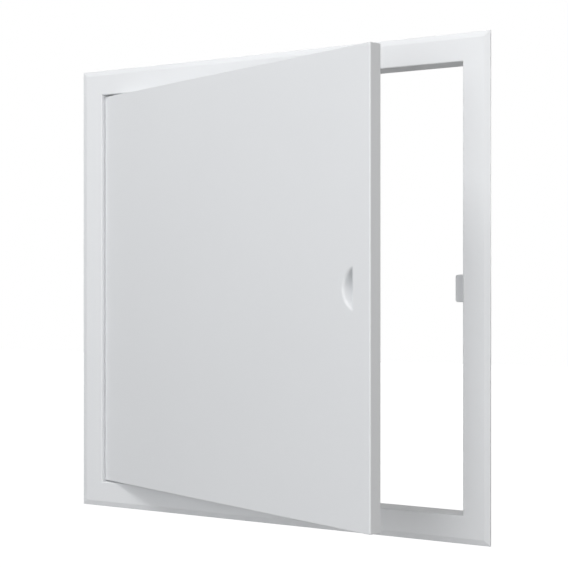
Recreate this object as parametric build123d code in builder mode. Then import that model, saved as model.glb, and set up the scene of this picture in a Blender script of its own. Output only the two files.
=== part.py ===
"""Hinged plastic access panel for a 300 mm square wall cut-out, modelled with its door part open.

Frame of reference, in millimetres: X to the right seen from the room, Y into the wall, Z up.
The origin is at the centre of the opening, on the wall plane that the back of the flange lies on.
"""
from build123d import *
import os
from math import cos, radians, sin, sqrt

os.makedirs("parts", exist_ok=True)

# Frame: a flat flange on the wall and a square collar that lines the cut-out
opening = 293.0
flange_width = 18.5
flange_thickness = 2.5
bevel_width = 3.8
bevel_drop = 1.0
collar_wall = 2.5
collar_depth = 15.5
mouth_round = 0.8

# Door: a moulded pan that closes flush with the flange
door_gap = 1.1
door_thickness = 8.6
door_face = 2.4
door_return = 2.2
door_side_round = 1.0
door_edge_round = 0.4
door_open_angle = 19.8

# Stiffening ribs inside the pan
rib_thickness = 1.8
rib_set_back = 1.2
rib_rows = 3

# Hinge pins at the two left corners of the door
pin_diameter = 3.6
pin_from_edge = 9.0
pin_behind_face = 4.6
pin_grip = 12.0
pin_running_clearance = 0.05
pin_press_clearance = 0.01
pin_end_clearance = 0.3
pin_chamfer = 0.4
hinge_boss_wall = 4.0

# Half-moon finger pull scooped into the face near the free edge
pull_radius = 13.3
pull_width = 8.7
pull_depth = 10.0
pull_lip_round = 2.2
pull_from_edge = 15.0
pull_wall = 1.2

# Magnetic catch on the right jamb and its steel strike inside the door
catch_reach = 8.9
catch_height = 18.0
catch_depth = 7.0
catch_corner_round = 1.6
catch_edge_round = 0.5
catch_clearance = 0.5
strike_width = 9.0
strike_height = 22.0
strike_thickness = 1.0
strike_corner_round = 1.0

# Sizes that follow from the driving dimensions
overall = opening + 2 * flange_width
collar_outside = opening + 2 * collar_wall
door_size = opening - 2 * door_gap
pan_inside = door_size - 2 * door_return
door_hollow = door_thickness - door_face
hinge_x = -opening / 2 + door_gap + pin_from_edge
hinge_y = pin_behind_face - flange_thickness

# The leaf plane lies in the front face of the open door: local X runs from the hinge to the free
# edge, local Y is up and local Z points out of the face
swing = radians(door_open_angle)
along = Vector(cos(swing), -sin(swing), 0)
outward = Vector(-sin(swing), -cos(swing), 0)
leaf_centre = Vector(hinge_x, hinge_y, 0) + along * (door_size / 2 - pin_from_edge) + outward * pin_behind_face
leaf = Plane(origin=leaf_centre, x_dir=along, z_dir=outward)
free_edge = door_size / 2
hinge_edge = -door_size / 2

# Frame moulding, with a bearing hole for a hinge pin in the top and bottom of its collar
with BuildPart() as frame:
    with BuildSketch(Plane.XZ):
        Rectangle(overall, overall)
        Rectangle(opening, opening, mode=Mode.SUBTRACT)
    extrude(amount=flange_thickness)
    front = frame.faces().sort_by(Axis.Y)[0]
    chamfer(front.outer_wire().edges(), length=bevel_width, length2=bevel_drop, reference=front)
    with BuildSketch(Plane.XZ):
        Rectangle(collar_outside, collar_outside)
        Rectangle(opening, opening, mode=Mode.SUBTRACT)
    extrude(amount=-collar_depth)
    front = frame.faces().sort_by(Axis.Y)[0]
    fillet(front.inner_wires()[0].edges(), radius=mouth_round)
    with BuildSketch(Plane.XY.offset(-overall / 2)):
        with Locations((hinge_x, hinge_y)):
            Circle(pin_diameter / 2 + pin_running_clearance)
    extrude(amount=overall, mode=Mode.SUBTRACT)
frame.part.label = "frame"
export_step(frame.part, "parts/frame.step")

# Catch block on the right jamb, just behind the closed door
catch_front = door_thickness - flange_thickness + catch_clearance
with BuildPart() as catch_block:
    with BuildSketch(Plane.XZ.offset(-catch_front)) as catch_outline:
        with Locations((opening / 2 - catch_reach / 2, 0)):
            Rectangle(catch_reach, catch_height)
        fillet(catch_outline.vertices().group_by(Axis.X)[0], radius=catch_corner_round)
    extrude(amount=-catch_depth)
    jamb_side = catch_block.faces().sort_by(Axis.X)[-1].edges()
    front = catch_block.faces().sort_by(Axis.Y)[0]
    fillet([e for e in front.edges() if e not in jamb_side], radius=catch_edge_round)
catch_block.part.label = "catch_block"
export_step(catch_block.part, "parts/catch_block.step")

# Scoop of the finger pull: part of a ball let into the face, with a rounded lip, and cut off straight
# on the side of the free edge
pull_chord = free_edge - pull_from_edge
pull_centre = pull_chord + pull_radius - pull_width
dish_radius = (pull_radius**2 + pull_depth**2) / (2 * pull_depth)
dish_rise = dish_radius - pull_depth
dish_section = Plane(
    origin=leaf.from_local_coords(Vector(pull_centre, 0, 0)), x_dir=along, z_dir=Vector(0, 0, -1)
)
dish_axis = Axis(dish_section.origin, outward)


def dish(radius, lip, cut_at):
    """Dish of the given ball and lip radius below the face, on the hinge side of the local X cut_at."""
    floor = dish_rise - radius
    rim = sqrt((radius + lip)**2 - (dish_rise + lip)**2)
    meet = radius / (radius + lip)
    lip_end = (rim * meet, dish_rise - (dish_rise + lip) * meet)
    with BuildPart() as solid:
        with BuildSketch(dish_section):
            with BuildLine():
                RadiusArc(lip_end, (0, floor), radius)
                Polyline((0, floor), (0, 0), (rim, 0))
                RadiusArc((rim, 0), lip_end, -lip)
            make_face()
        revolve(axis=dish_axis)
        cut = Plane(origin=leaf.from_local_coords(Vector(cut_at, 0, 0)), z_dir=along)
        split(bisect_by=cut, keep=Keep.BOTTOM)
    return solid.part


scoop = dish(dish_radius, pull_lip_round, pull_chord)
cup = dish(dish_radius + pull_wall, pull_lip_round, pull_chord + pull_wall)

# Door leaf: one moulding of face, returns, ribs, finger pull, hinge bosses and strike seat
strike_right = free_edge - door_return
strike_centre = strike_right - strike_width / 2
strike_seat_width = strike_right - pull_chord - pull_wall
with BuildPart() as door_leaf:
    with BuildSketch(leaf):
        Rectangle(door_size, door_size)
    extrude(amount=-door_thickness)
    front = door_leaf.faces().sort_by(Axis(leaf.origin, outward))[-1]
    fillet(front.edges().filter_by(Axis.Z), radius=door_side_round)
    front = door_leaf.faces().sort_by(Axis(leaf.origin, outward))[-1]
    fillet(front.edges().filter_by(Axis.Z, reverse=True), radius=door_edge_round)
    with BuildSketch(leaf.offset(-door_thickness)):
        Rectangle(pan_inside, pan_inside)
    extrude(amount=door_hollow, mode=Mode.SUBTRACT)
    rib_pitch = pan_inside / (rib_rows + 1)
    with BuildSketch(leaf.offset(-door_face)):
        with GridLocations(rib_pitch, 0, rib_rows, 1):
            Rectangle(rib_thickness, pan_inside)
        with GridLocations(0, rib_pitch, 1, rib_rows):
            Rectangle(pan_inside, rib_thickness)
    extrude(amount=-(door_hollow - rib_set_back))
    add(cup)
    add(scoop, mode=Mode.SUBTRACT)
    with BuildSketch(leaf.offset(-door_face)):
        with Locations((strike_right - strike_seat_width / 2, 0)):
            Rectangle(strike_seat_width, strike_height)
        boss_width = pin_from_edge - door_return + pin_diameter / 2 + hinge_boss_wall
        boss_height = pin_grip + hinge_boss_wall
        boss_x = hinge_edge + door_return + boss_width / 2
        boss_y = pan_inside / 2 - boss_height / 2
        with Locations((boss_x, boss_y), (boss_x, -boss_y)):
            Rectangle(boss_width, boss_height)
    extrude(amount=-door_hollow)
    with BuildSketch(leaf.offset(-door_thickness)):
        with Locations((strike_centre, 0)):
            RectangleRounded(strike_width, strike_height, strike_corner_round)
    extrude(amount=strike_thickness, mode=Mode.SUBTRACT)
    for side in (1, -1):
        with BuildSketch(Plane(origin=(hinge_x, hinge_y, side * door_size / 2), z_dir=(0, 0, -side))):
            Circle(pin_diameter / 2 + pin_press_clearance)
        extrude(amount=door_return + pin_grip, mode=Mode.SUBTRACT)
door_leaf.part.label = "door_leaf"
export_step(door_leaf.part, "parts/door_leaf.step")

# Steel strike plate, let in flush with the rim of the pan
with BuildPart() as strike_plate:
    with BuildSketch(leaf.offset(-door_thickness)):
        with Locations((strike_centre, 0)):
            RectangleRounded(strike_width, strike_height, strike_corner_round)
    extrude(amount=strike_thickness)
strike_plate.part.label = "strike_plate"
export_step(strike_plate.part, "parts/strike_plate.step")

# Hinge pins: pressed into the door's bosses, turning in the holes of the collar
pin_length = door_return + pin_grip + door_gap + collar_wall - pin_end_clearance
for name, side in (("upper_hinge_pin", 1), ("lower_hinge_pin", -1)):
    with BuildPart() as pin:
        start = side * (door_size / 2 - door_return - pin_grip)
        with BuildSketch(Plane(origin=(hinge_x, hinge_y, start), z_dir=(0, 0, side))):
            Circle(pin_diameter / 2)
        extrude(amount=pin_length)
        chamfer(pin.edges().filter_by(GeomType.CIRCLE), length=pin_chamfer)
    pin.part.label = name
    export_step(pin.part, f"parts/{name}.step")
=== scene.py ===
"""Looks of the hinged access panel: moulded white plastic, plated steel, a white studio, a camera.

Everything is in metres, in the panel's own frame: X to the right, Y into the wall, Z up.
"""
from math import radians

import bmesh
import bpy
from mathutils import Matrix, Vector

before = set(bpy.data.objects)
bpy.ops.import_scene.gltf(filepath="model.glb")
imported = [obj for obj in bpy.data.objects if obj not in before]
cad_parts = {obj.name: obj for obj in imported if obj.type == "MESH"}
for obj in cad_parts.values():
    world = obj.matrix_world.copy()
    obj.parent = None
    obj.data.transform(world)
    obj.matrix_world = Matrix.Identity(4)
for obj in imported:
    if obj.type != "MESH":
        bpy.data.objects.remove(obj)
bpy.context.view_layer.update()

# White plastic: colours from dark to light, and the scale and detail of each noise
PANEL_WHITE = ((0.795, 0.805, 0.818), (0.815, 0.825, 0.838))
# The catch is the panel's own white plastic made lighter: painted light that stands in for the light
# its recess behind the door keeps off
CATCH_WHITE_PAINTED_LIGHTER = ((0.87, 0.88, 0.89), (0.89, 0.90, 0.91))
PLASTIC_CLOUD = (14.0, 3.0)
PLASTIC_SHEEN = (60.0, 4.0)
PLASTIC_ROUGHNESS = (0.45, 0.55)
PLASTIC_GRAIN = (2600.0, 2.0)
PLASTIC_GRAIN_HEIGHT = 0.00001
PLASTIC_GRAIN_STRENGTH = 0.6
PLASTIC_IOR = 1.5

# Plated steel, whose fine lines are noise drawn out along the height
STEEL_GREY = ((0.56, 0.57, 0.59), (0.68, 0.69, 0.70))
STEEL_CLOUD = (220.0, 3.0)
STEEL_LINES = (900.0, 4.0)
STEEL_LINE_STRETCH = (4.0, 4.0, 0.2)
STEEL_LINE_HEIGHT = 0.00001
STEEL_LINE_STRENGTH = 0.5
STEEL_ROUGHNESS = (0.24, 0.42)

# Camera, fitted to the photograph: where it stands, which way it looks, and its lens
IMAGE_SIDE = 568
FOCAL_PIXELS = 1301.4
HORIZON_ROW = 288.4
SENSOR_WIDTH = 36.0
CAMERA_PLACE = Vector((0.4692, -0.7858, 0.0))
CAMERA_TURN = radians(30.21)
LEVEL_VIEW = radians(90.0)

# Floor and world: the floor's own glow rises to full white from the near to the far reach
FLOOR_LEVEL = -0.80
FLOOR_REACH = 12.0
FLOOR_CELLS = 8
FLOOR_TONE = 0.15
FLOOR_ROUGHNESS = 0.9
FLOOR_NEAR_GLOW = 0.86
FLOOR_NEAR_REACH = 1.4
FLOOR_FAR_REACH = 2.5
FULL_GLOW = 1.0
WORLD_LEVEL = 0.08

# Lamps: place, width and height, power in watts, and colour
COOL_WHITE = (0.960, 0.979, 1.0)
EVEN_WHITE = (1.0, 1.0, 1.0)
WARM_WHITE = (1.0, 0.99, 0.975)
SOFTBOXES = {
    "key_light": (Vector((-0.227, -0.997, 1.231)), (0.9, 0.4), 11.3, EVEN_WHITE),
    "front_fill": (Vector((0.028, -1.599, 0.057)), (0.9, 0.9), 8.0, COOL_WHITE),
    "left_fill": (Vector((-0.962, -1.146, 0.568)), (0.9, 0.9), 2.6, COOL_WHITE),
    "right_fill": (Vector((1.245, -0.993, 0.154)), (0.9, 0.9), 7.9, WARM_WHITE),
    "back_light": (Vector((0.550, 1.450, 0.200)), (1.6, 0.3), 10.5, EVEN_WHITE),
}


def new_material(name):
    """A new material with its nodes, its links and its Principled shader."""
    material = bpy.data.materials.new(name)
    material.use_nodes = True
    nodes, links = material.node_tree.nodes, material.node_tree.links
    return material, nodes, links, nodes["Principled BSDF"]


def noise(nodes, links, scale, detail, stretch=(1.0, 1.0, 1.0)):
    """Noise on the piece's own place in the panel, so that it stays with the piece as it moves."""
    place = nodes.new("ShaderNodeTexCoord")
    mapping = nodes.new("ShaderNodeMapping")
    mapping.inputs["Scale"].default_value = stretch
    texture = nodes.new("ShaderNodeTexNoise")
    texture.inputs["Scale"].default_value = scale
    texture.inputs["Detail"].default_value = detail
    links.new(place.outputs["Object"], mapping.inputs["Vector"])
    links.new(mapping.outputs["Vector"], texture.inputs["Vector"])
    return texture.outputs["Fac"]


def between(nodes, links, value, low, high, start=0.0, end=1.0):
    """Maps a value from start to end to the range low to high."""
    ranged = nodes.new("ShaderNodeMapRange")
    ranged.inputs["From Min"].default_value = start
    ranged.inputs["From Max"].default_value = end
    ranged.inputs["To Min"].default_value = low
    ranged.inputs["To Max"].default_value = high
    links.new(value, ranged.inputs["Value"])
    return ranged.outputs["Result"]


def tinted(nodes, links, value, dark, light):
    """Mixes two close colours by a 0 to 1 value."""
    mix = nodes.new("ShaderNodeMix")
    mix.data_type = "RGBA"
    mix.inputs["A"].default_value = (*dark, 1.0)
    mix.inputs["B"].default_value = (*light, 1.0)
    links.new(value, mix.inputs["Factor"])
    return mix.outputs["Result"]


def bumped(nodes, links, value, height, strength):
    """Normal of a surface raised by a 0 to 1 value times height."""
    bump = nodes.new("ShaderNodeBump")
    bump.inputs["Distance"].default_value = height
    bump.inputs["Strength"].default_value = strength
    links.new(value, bump.inputs["Height"])
    return bump.outputs["Normal"]


def moulded_plastic(name, colours):
    """Satin moulded plastic: a faint cloudiness in its colour and gloss, and a fine grain."""
    material, nodes, links, shader = new_material(name)
    cloud = noise(nodes, links, *PLASTIC_CLOUD)
    links.new(tinted(nodes, links, cloud, *colours), shader.inputs["Base Color"])
    sheen = noise(nodes, links, *PLASTIC_SHEEN)
    links.new(between(nodes, links, sheen, *PLASTIC_ROUGHNESS), shader.inputs["Roughness"])
    grain = noise(nodes, links, *PLASTIC_GRAIN)
    grained = bumped(nodes, links, grain, PLASTIC_GRAIN_HEIGHT, PLASTIC_GRAIN_STRENGTH)
    links.new(grained, shader.inputs["Normal"])
    shader.inputs["IOR"].default_value = PLASTIC_IOR
    return material


def plated_steel(name):
    """Bright zinc plate over rolled steel, with fine lines along its height."""
    material, nodes, links, shader = new_material(name)
    cloud = noise(nodes, links, *STEEL_CLOUD)
    links.new(tinted(nodes, links, cloud, *STEEL_GREY), shader.inputs["Base Color"])
    lines = noise(nodes, links, *STEEL_LINES, STEEL_LINE_STRETCH)
    links.new(between(nodes, links, lines, *STEEL_ROUGHNESS), shader.inputs["Roughness"])
    lined = bumped(nodes, links, lines, STEEL_LINE_HEIGHT, STEEL_LINE_STRENGTH)
    links.new(lined, shader.inputs["Normal"])
    shader.inputs["Metallic"].default_value = 1.0
    return material


def dress(node, material):
    """Gives a CAD node its finish."""
    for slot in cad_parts[node].material_slots:
        slot.material = material


def seen_directly(nodes, links):
    """1 for rays that show the background itself: to the camera, in a gloss or through glass."""
    path = nodes.new("ShaderNodeLightPath")
    total = path.outputs["Is Camera Ray"]
    for ray in ("Is Glossy Ray", "Is Transmission Ray"):
        either = nodes.new("ShaderNodeMath")
        either.operation = "MAXIMUM"
        links.new(total, either.inputs[0])
        links.new(path.outputs[ray], either.inputs[1])
        total = either.outputs["Value"]
    return total


def white_floor():
    """Floor finish that glows where it is seen, less so near the panel, where a shadow has to show."""
    material, nodes, links, shader = new_material("white_floor")
    shader.inputs["Base Color"].default_value = (FLOOR_TONE, FLOOR_TONE, FLOOR_TONE, 1.0)
    shader.inputs["Roughness"].default_value = FLOOR_ROUGHNESS
    shader.inputs["Emission Color"].default_value = (*EVEN_WHITE, 1.0)
    place = nodes.new("ShaderNodeTexCoord")
    distance = nodes.new("ShaderNodeVectorMath")
    distance.operation = "LENGTH"
    links.new(place.outputs["Object"], distance.inputs[0])
    away = distance.outputs["Value"]
    reach = (FLOOR_NEAR_REACH, FLOOR_FAR_REACH)
    glow = nodes.new("ShaderNodeMath")
    glow.operation = "MULTIPLY"
    links.new(seen_directly(nodes, links), glow.inputs[0])
    links.new(between(nodes, links, away, FLOOR_NEAR_GLOW, FULL_GLOW, *reach), glow.inputs[1])
    links.new(glow.outputs["Value"], shader.inputs["Emission Strength"])
    return material


def make_floor():
    """A wide white floor below the panel."""
    shape = bmesh.new()
    bmesh.ops.create_grid(shape, x_segments=FLOOR_CELLS, y_segments=FLOOR_CELLS, size=FLOOR_REACH)
    bmesh.ops.translate(shape, verts=shape.verts, vec=(0.0, 0.0, FLOOR_LEVEL))
    mesh = bpy.data.meshes.new("floor")
    shape.to_mesh(mesh)
    shape.free()
    mesh.materials.append(white_floor())
    floor = bpy.data.objects.new("floor", mesh)
    bpy.context.scene.collection.objects.link(floor)


def make_world():
    """Soft even light from all round, with a white background where it is seen itself."""
    world = bpy.data.worlds.new("studio")
    world.use_nodes = True
    nodes, links = world.node_tree.nodes, world.node_tree.links
    background = nodes["Background"]
    background.inputs["Color"].default_value = (*EVEN_WHITE, 1.0)
    level = between(nodes, links, seen_directly(nodes, links), WORLD_LEVEL, FULL_GLOW)
    links.new(level, background.inputs["Strength"])
    bpy.context.scene.world = world


def make_softbox(name, place, size, power, colour):
    """A soft lamp of the given width and height that faces the middle of the panel."""
    lamp = bpy.data.lights.new(name, "AREA")
    lamp.shape = "RECTANGLE"
    lamp.size, lamp.size_y = size
    lamp.energy = power
    lamp.color = colour
    softbox = bpy.data.objects.new(name, lamp)
    softbox.location = place
    softbox.rotation_euler = (-place).to_track_quat("-Z", "Y").to_euler()
    bpy.context.scene.collection.objects.link(softbox)


def make_camera():
    """A level camera at the photograph's viewing angle."""
    lens = bpy.data.cameras.new("camera")
    lens.sensor_width = SENSOR_WIDTH
    lens.lens = FOCAL_PIXELS / IMAGE_SIDE * SENSOR_WIDTH
    lens.shift_y = (HORIZON_ROW - IMAGE_SIDE / 2) / IMAGE_SIDE
    camera = bpy.data.objects.new("camera", lens)
    camera.location = CAMERA_PLACE
    camera.rotation_euler = (LEVEL_VIEW, 0.0, CAMERA_TURN)
    bpy.context.scene.collection.objects.link(camera)
    bpy.context.scene.camera = camera


white_plastic = moulded_plastic("white_plastic", PANEL_WHITE)
# The catch's copy of the white plastic is lighter than the panel's: painted light for the shade it
# sits in
catch_plastic = moulded_plastic("catch_plastic", CATCH_WHITE_PAINTED_LIGHTER)
steel = plated_steel("bright_steel")
for node, finish in {
    "frame": white_plastic,
    "door_leaf": white_plastic,
    "catch_block": catch_plastic,
    "strike_plate": steel,
    "upper_hinge_pin": steel,
    "lower_hinge_pin": steel,
}.items():
    dress(node, finish)

make_floor()
make_world()
for name, (place, size, power, colour) in SOFTBOXES.items():
    make_softbox(name, place, size, power, colour)
make_camera()
bpy.context.scene.view_settings.view_transform = "Standard"
